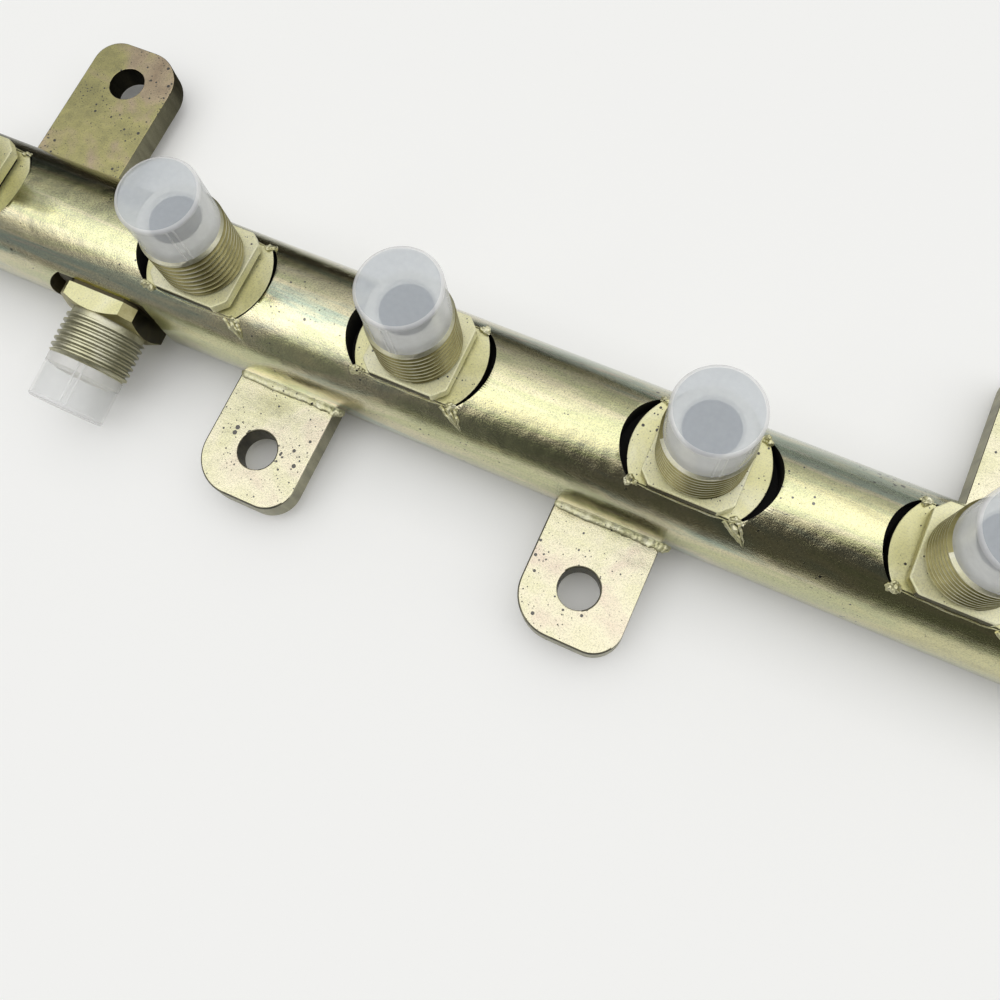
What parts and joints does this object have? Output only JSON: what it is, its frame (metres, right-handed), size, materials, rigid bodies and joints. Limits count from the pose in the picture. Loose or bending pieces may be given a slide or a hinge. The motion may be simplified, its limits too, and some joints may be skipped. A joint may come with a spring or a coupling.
{
  "type": "fuel rail",
  "caption": "Round steel fuel rail with threaded pipe connectors set in milled pockets, plastic transport caps, welded fixing tabs and brazed end plugs.",
  "frame": {"origin": "midway between the two front tab holes, on the underside of the tabs", "axes": "+X along the tube towards the end away from the side connector, +Y from the front tabs to the rear tabs, +Z out along the row of top connectors"},
  "size_m": [0.304, 0.0949, 0.0542],
  "materials": {
    "plated_steel": "yellow passivated zinc plate, glossy",
    "connector_steel": "yellow passivated zinc plate over turned steel",
    "tab_steel": "yellow passivated zinc plate over blanked plate",
    "weld_steel": "plated weld bead",
    "plug_steel": "yellow passivated zinc plate",
    "cap_plastic": "thin translucent milky polyethylene"
  },
  "bodies": {
    "root": {"rail_tube": "plated_steel", "connector_1": "connector_steel", "connector_2": "connector_steel", "connector_3": "connector_steel", "connector_4": "connector_steel", "connector_5": "connector_steel", "side_connector": "connector_steel", "transport_caps": "cap_plastic", "tab_front_left": "tab_steel", "weld_front_left_upper": "weld_steel", "weld_front_left_lower": "weld_steel", "tab_front_right": "tab_steel", "weld_front_right_upper": "weld_steel", "weld_front_right_lower": "weld_steel", "tab_rear_left": "tab_steel", "weld_rear_left_upper": "weld_steel", "weld_rear_left_lower": "weld_steel", "tab_rear_right": "tab_steel", "weld_rear_right_upper": "weld_steel", "weld_rear_right_lower": "weld_steel", "end_plugs": "plug_steel"}
  },
  "joints": []
}
